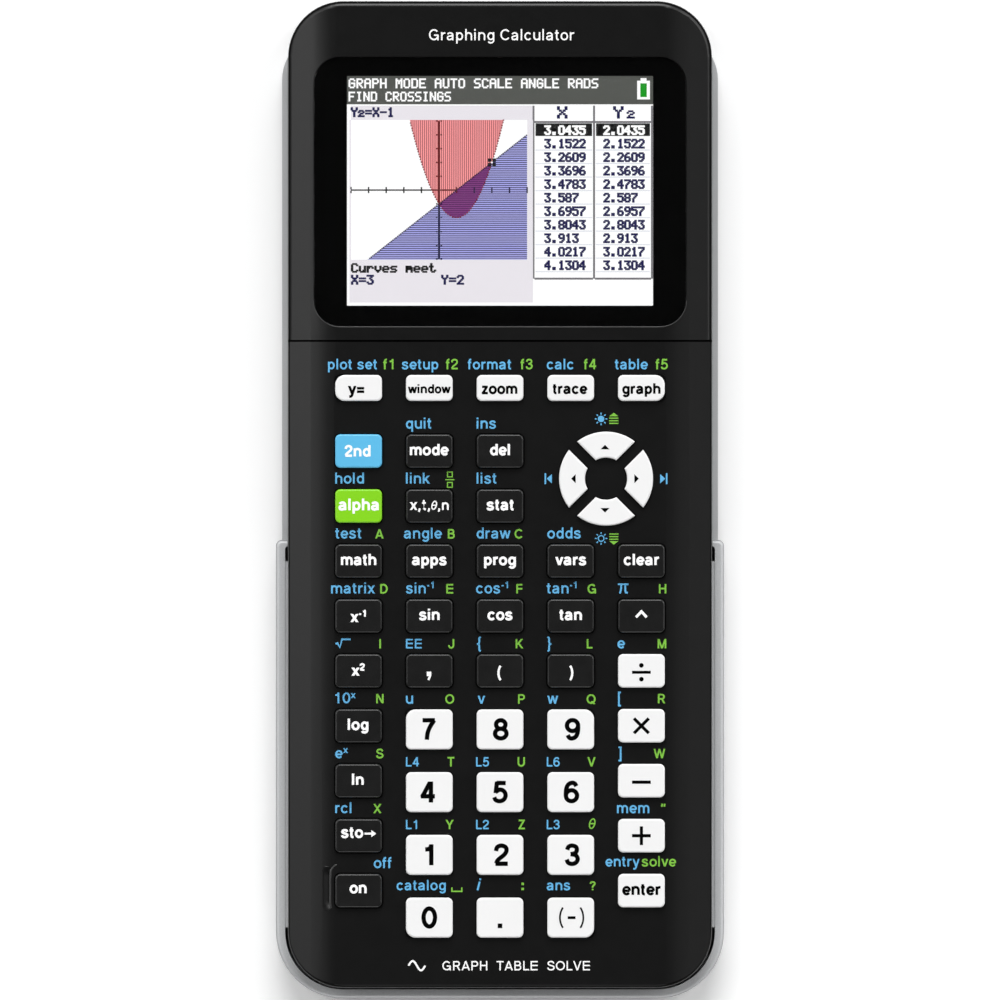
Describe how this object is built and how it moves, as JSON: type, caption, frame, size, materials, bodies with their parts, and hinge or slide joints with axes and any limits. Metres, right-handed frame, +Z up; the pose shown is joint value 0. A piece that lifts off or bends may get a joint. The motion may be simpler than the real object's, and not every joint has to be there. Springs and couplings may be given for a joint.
{
  "type": "graphing calculator",
  "caption": "Handheld graphing calculator with a colour display, a full keypad with arrow keys and a hard slide cover parked on its back.",
  "frame": {"origin": "under the middle of the calculator, on the surface that its cover lies on", "axes": "+X to the right of the keypad, +Y along its length towards the display, +Z up out of the keys"},
  "size_m": [0.0864, 0.192, 0.0168],
  "materials": {
    "case_black": "satin black moulded plastic",
    "lens": "clear gloss, dark border",
    "display": "colour LCD panel in a metal frame",
    "silicone": "matt grey silicone",
    "board": "green solder mask",
    "battery": "wrapped battery pack",
    "steel": "zinc-plated steel",
    "cover_silver": "satin silver plastic",
    "key_white": "satin white plastic",
    "key_dark": "satin black plastic",
    "key_blue": "satin blue plastic",
    "key_green": "satin green plastic"
  },
  "bodies": {
    "calculator": {"front_case": "case_black", "rear_case": "case_black", "battery_door": "case_black", "display_lens": "lens", "display_module": "display", "rubber_keypad": "silicone", "circuit_board": "board", "battery_pack": "battery", "case_screws": "steel"},
    "cover": {"slide_cover": "cover_silver"},
    "cap_0": {"key_0": "key_white"},
    "cap_1": {"key_1": "key_white"},
    "cap_2": {"key_2": "key_white"},
    "cap_3": {"key_3": "key_white"},
    "cap_4": {"key_4": "key_white"},
    "cap_5": {"key_5": "key_white"},
    "cap_6": {"key_6": "key_white"},
    "cap_7": {"key_7": "key_white"},
    "cap_8": {"key_8": "key_white"},
    "cap_9": {"key_9": "key_white"},
    "cap_alpha": {"key_alpha": "key_green"},
    "cap_apps": {"key_apps": "key_dark"},
    "cap_clear": {"key_clear": "key_dark"},
    "cap_close_paren": {"key_close_paren": "key_dark"},
    "cap_comma": {"key_comma": "key_dark"},
    "cap_cos": {"key_cos": "key_dark"},
    "cap_del": {"key_del": "key_dark"},
    "cap_divide": {"key_divide": "key_white"},
    "cap_down": {"key_down": "key_white"},
    "cap_enter": {"key_enter": "key_white"},
    "cap_graph": {"key_graph": "key_white"},
    "cap_inverse": {"key_inverse": "key_dark"},
    "cap_left": {"key_left": "key_white"},
    "cap_ln": {"key_ln": "key_dark"},
    "cap_log": {"key_log": "key_dark"},
    "cap_math": {"key_math": "key_dark"},
    "cap_minus": {"key_minus": "key_white"},
    "cap_mode": {"key_mode": "key_dark"},
    "cap_multiply": {"key_multiply": "key_white"},
    "cap_negate": {"key_negate": "key_white"},
    "cap_on": {"key_on": "key_dark"},
    "cap_open_paren": {"key_open_paren": "key_dark"},
    "cap_plus": {"key_plus": "key_white"},
    "cap_point": {"key_point": "key_white"},
    "cap_power": {"key_power": "key_dark"},
    "cap_prgm": {"key_prgm": "key_dark"},
    "cap_right": {"key_right": "key_white"},
    "cap_second": {"key_second": "key_blue"},
    "cap_sin": {"key_sin": "key_dark"},
    "cap_square": {"key_square": "key_dark"},
    "cap_stat": {"key_stat": "key_dark"},
    "cap_store": {"key_store": "key_dark"},
    "cap_tan": {"key_tan": "key_dark"},
    "cap_trace": {"key_trace": "key_white"},
    "cap_up": {"key_up": "key_white"},
    "cap_variable": {"key_variable": "key_dark"},
    "cap_vars": {"key_vars": "key_dark"},
    "cap_window": {"key_window": "key_white"},
    "cap_y_equals": {"key_y_equals": "key_white"},
    "cap_zoom": {"key_zoom": "key_white"}
  },
  "joints": [
    {"name": "cover_slide", "type": "slide", "parent": "calculator", "child": "cover", "axis": [0, -1, 0], "range_m": [0, 0.2]},
    {"name": "press_0", "type": "slide", "parent": "calculator", "child": "cap_0", "axis": [0, 0, -1], "range_m": [0, 0.001], "stiffness_N_per_m": 400, "deforming": ["rubber_keypad"]},
    {"name": "press_1", "type": "slide", "parent": "calculator", "child": "cap_1", "axis": [0, 0, -1], "range_m": [0, 0.001], "stiffness_N_per_m": 400, "deforming": ["rubber_keypad"]},
    {"name": "press_2", "type": "slide", "parent": "calculator", "child": "cap_2", "axis": [0, 0, -1], "range_m": [0, 0.001], "stiffness_N_per_m": 400, "deforming": ["rubber_keypad"]},
    {"name": "press_3", "type": "slide", "parent": "calculator", "child": "cap_3", "axis": [0, 0, -1], "range_m": [0, 0.001], "stiffness_N_per_m": 400, "deforming": ["rubber_keypad"]},
    {"name": "press_4", "type": "slide", "parent": "calculator", "child": "cap_4", "axis": [0, 0, -1], "range_m": [0, 0.001], "stiffness_N_per_m": 400, "deforming": ["rubber_keypad"]},
    {"name": "press_5", "type": "slide", "parent": "calculator", "child": "cap_5", "axis": [0, 0, -1], "range_m": [0, 0.001], "stiffness_N_per_m": 400, "deforming": ["rubber_keypad"]},
    {"name": "press_6", "type": "slide", "parent": "calculator", "child": "cap_6", "axis": [0, 0, -1], "range_m": [0, 0.001], "stiffness_N_per_m": 400, "deforming": ["rubber_keypad"]},
    {"name": "press_7", "type": "slide", "parent": "calculator", "child": "cap_7", "axis": [0, 0, -1], "range_m": [0, 0.001], "stiffness_N_per_m": 400, "deforming": ["rubber_keypad"]},
    {"name": "press_8", "type": "slide", "parent": "calculator", "child": "cap_8", "axis": [0, 0, -1], "range_m": [0, 0.001], "stiffness_N_per_m": 400, "deforming": ["rubber_keypad"]},
    {"name": "press_9", "type": "slide", "parent": "calculator", "child": "cap_9", "axis": [0, 0, -1], "range_m": [0, 0.001], "stiffness_N_per_m": 400, "deforming": ["rubber_keypad"]},
    {"name": "press_alpha", "type": "slide", "parent": "calculator", "child": "cap_alpha", "axis": [0, 0, -1], "range_m": [0, 0.001], "stiffness_N_per_m": 400, "deforming": ["rubber_keypad"]},
    {"name": "press_apps", "type": "slide", "parent": "calculator", "child": "cap_apps", "axis": [0, 0, -1], "range_m": [0, 0.001], "stiffness_N_per_m": 400, "deforming": ["rubber_keypad"]},
    {"name": "press_clear", "type": "slide", "parent": "calculator", "child": "cap_clear", "axis": [0, 0, -1], "range_m": [0, 0.001], "stiffness_N_per_m": 400, "deforming": ["rubber_keypad"]},
    {"name": "press_close_paren", "type": "slide", "parent": "calculator", "child": "cap_close_paren", "axis": [0, 0, -1], "range_m": [0, 0.001], "stiffness_N_per_m": 400, "deforming": ["rubber_keypad"]},
    {"name": "press_comma", "type": "slide", "parent": "calculator", "child": "cap_comma", "axis": [0, 0, -1], "range_m": [0, 0.001], "stiffness_N_per_m": 400, "deforming": ["rubber_keypad"]},
    {"name": "press_cos", "type": "slide", "parent": "calculator", "child": "cap_cos", "axis": [0, 0, -1], "range_m": [0, 0.001], "stiffness_N_per_m": 400, "deforming": ["rubber_keypad"]},
    {"name": "press_del", "type": "slide", "parent": "calculator", "child": "cap_del", "axis": [0, 0, -1], "range_m": [0, 0.001], "stiffness_N_per_m": 400, "deforming": ["rubber_keypad"]},
    {"name": "press_divide", "type": "slide", "parent": "calculator", "child": "cap_divide", "axis": [0, 0, -1], "range_m": [0, 0.001], "stiffness_N_per_m": 400, "deforming": ["rubber_keypad"]},
    {"name": "press_down", "type": "slide", "parent": "calculator", "child": "cap_down", "axis": [0, 0, -1], "range_m": [0, 0.001], "stiffness_N_per_m": 400, "deforming": ["rubber_keypad"]},
    {"name": "press_enter", "type": "slide", "parent": "calculator", "child": "cap_enter", "axis": [0, 0, -1], "range_m": [0, 0.001], "stiffness_N_per_m": 400, "deforming": ["rubber_keypad"]},
    {"name": "press_graph", "type": "slide", "parent": "calculator", "child": "cap_graph", "axis": [0, 0, -1], "range_m": [0, 0.001], "stiffness_N_per_m": 400, "deforming": ["rubber_keypad"]},
    {"name": "press_inverse", "type": "slide", "parent": "calculator", "child": "cap_inverse", "axis": [0, 0, -1], "range_m": [0, 0.001], "stiffness_N_per_m": 400, "deforming": ["rubber_keypad"]},
    {"name": "press_left", "type": "slide", "parent": "calculator", "child": "cap_left", "axis": [0, 0, -1], "range_m": [0, 0.001], "stiffness_N_per_m": 400, "deforming": ["rubber_keypad"]},
    {"name": "press_ln", "type": "slide", "parent": "calculator", "child": "cap_ln", "axis": [0, 0, -1], "range_m": [0, 0.001], "stiffness_N_per_m": 400, "deforming": ["rubber_keypad"]},
    {"name": "press_log", "type": "slide", "parent": "calculator", "child": "cap_log", "axis": [0, 0, -1], "range_m": [0, 0.001], "stiffness_N_per_m": 400, "deforming": ["rubber_keypad"]},
    {"name": "press_math", "type": "slide", "parent": "calculator", "child": "cap_math", "axis": [0, 0, -1], "range_m": [0, 0.001], "stiffness_N_per_m": 400, "deforming": ["rubber_keypad"]},
    {"name": "press_minus", "type": "slide", "parent": "calculator", "child": "cap_minus", "axis": [0, 0, -1], "range_m": [0, 0.001], "stiffness_N_per_m": 400, "deforming": ["rubber_keypad"]},
    {"name": "press_mode", "type": "slide", "parent": "calculator", "child": "cap_mode", "axis": [0, 0, -1], "range_m": [0, 0.001], "stiffness_N_per_m": 400, "deforming": ["rubber_keypad"]},
    {"name": "press_multiply", "type": "slide", "parent": "calculator", "child": "cap_multiply", "axis": [0, 0, -1], "range_m": [0, 0.001], "stiffness_N_per_m": 400, "deforming": ["rubber_keypad"]},
    {"name": "press_negate", "type": "slide", "parent": "calculator", "child": "cap_negate", "axis": [0, 0, -1], "range_m": [0, 0.001], "stiffness_N_per_m": 400, "deforming": ["rubber_keypad"]},
    {"name": "press_on", "type": "slide", "parent": "calculator", "child": "cap_on", "axis": [0, 0, -1], "range_m": [0, 0.001], "stiffness_N_per_m": 400, "deforming": ["rubber_keypad"]},
    {"name": "press_open_paren", "type": "slide", "parent": "calculator", "child": "cap_open_paren", "axis": [0, 0, -1], "range_m": [0, 0.001], "stiffness_N_per_m": 400, "deforming": ["rubber_keypad"]},
    {"name": "press_plus", "type": "slide", "parent": "calculator", "child": "cap_plus", "axis": [0, 0, -1], "range_m": [0, 0.001], "stiffness_N_per_m": 400, "deforming": ["rubber_keypad"]},
    {"name": "press_point", "type": "slide", "parent": "calculator", "child": "cap_point", "axis": [0, 0, -1], "range_m": [0, 0.001], "stiffness_N_per_m": 400, "deforming": ["rubber_keypad"]},
    {"name": "press_power", "type": "slide", "parent": "calculator", "child": "cap_power", "axis": [0, 0, -1], "range_m": [0, 0.001], "stiffness_N_per_m": 400, "deforming": ["rubber_keypad"]},
    {"name": "press_prgm", "type": "slide", "parent": "calculator", "child": "cap_prgm", "axis": [0, 0, -1], "range_m": [0, 0.001], "stiffness_N_per_m": 400, "deforming": ["rubber_keypad"]},
    {"name": "press_right", "type": "slide", "parent": "calculator", "child": "cap_right", "axis": [0, 0, -1], "range_m": [0, 0.001], "stiffness_N_per_m": 400, "deforming": ["rubber_keypad"]},
    {"name": "press_second", "type": "slide", "parent": "calculator", "child": "cap_second", "axis": [0, 0, -1], "range_m": [0, 0.001], "stiffness_N_per_m": 400, "deforming": ["rubber_keypad"]},
    {"name": "press_sin", "type": "slide", "parent": "calculator", "child": "cap_sin", "axis": [0, 0, -1], "range_m": [0, 0.001], "stiffness_N_per_m": 400, "deforming": ["rubber_keypad"]},
    {"name": "press_square", "type": "slide", "parent": "calculator", "child": "cap_square", "axis": [0, 0, -1], "range_m": [0, 0.001], "stiffness_N_per_m": 400, "deforming": ["rubber_keypad"]},
    {"name": "press_stat", "type": "slide", "parent": "calculator", "child": "cap_stat", "axis": [0, 0, -1], "range_m": [0, 0.001], "stiffness_N_per_m": 400, "deforming": ["rubber_keypad"]},
    {"name": "press_store", "type": "slide", "parent": "calculator", "child": "cap_store", "axis": [0, 0, -1], "range_m": [0, 0.001], "stiffness_N_per_m": 400, "deforming": ["rubber_keypad"]},
    {"name": "press_tan", "type": "slide", "parent": "calculator", "child": "cap_tan", "axis": [0, 0, -1], "range_m": [0, 0.001], "stiffness_N_per_m": 400, "deforming": ["rubber_keypad"]},
    {"name": "press_trace", "type": "slide", "parent": "calculator", "child": "cap_trace", "axis": [0, 0, -1], "range_m": [0, 0.001], "stiffness_N_per_m": 400, "deforming": ["rubber_keypad"]},
    {"name": "press_up", "type": "slide", "parent": "calculator", "child": "cap_up", "axis": [0, 0, -1], "range_m": [0, 0.001], "stiffness_N_per_m": 400, "deforming": ["rubber_keypad"]},
    {"name": "press_variable", "type": "slide", "parent": "calculator", "child": "cap_variable", "axis": [0, 0, -1], "range_m": [0, 0.001], "stiffness_N_per_m": 400, "deforming": ["rubber_keypad"]},
    {"name": "press_vars", "type": "slide", "parent": "calculator", "child": "cap_vars", "axis": [0, 0, -1], "range_m": [0, 0.001], "stiffness_N_per_m": 400, "deforming": ["rubber_keypad"]},
    {"name": "press_window", "type": "slide", "parent": "calculator", "child": "cap_window", "axis": [0, 0, -1], "range_m": [0, 0.001], "stiffness_N_per_m": 400, "deforming": ["rubber_keypad"]},
    {"name": "press_y_equals", "type": "slide", "parent": "calculator", "child": "cap_y_equals", "axis": [0, 0, -1], "range_m": [0, 0.001], "stiffness_N_per_m": 400, "deforming": ["rubber_keypad"]},
    {"name": "press_zoom", "type": "slide", "parent": "calculator", "child": "cap_zoom", "axis": [0, 0, -1], "range_m": [0, 0.001], "stiffness_N_per_m": 400, "deforming": ["rubber_keypad"]}
  ]
}
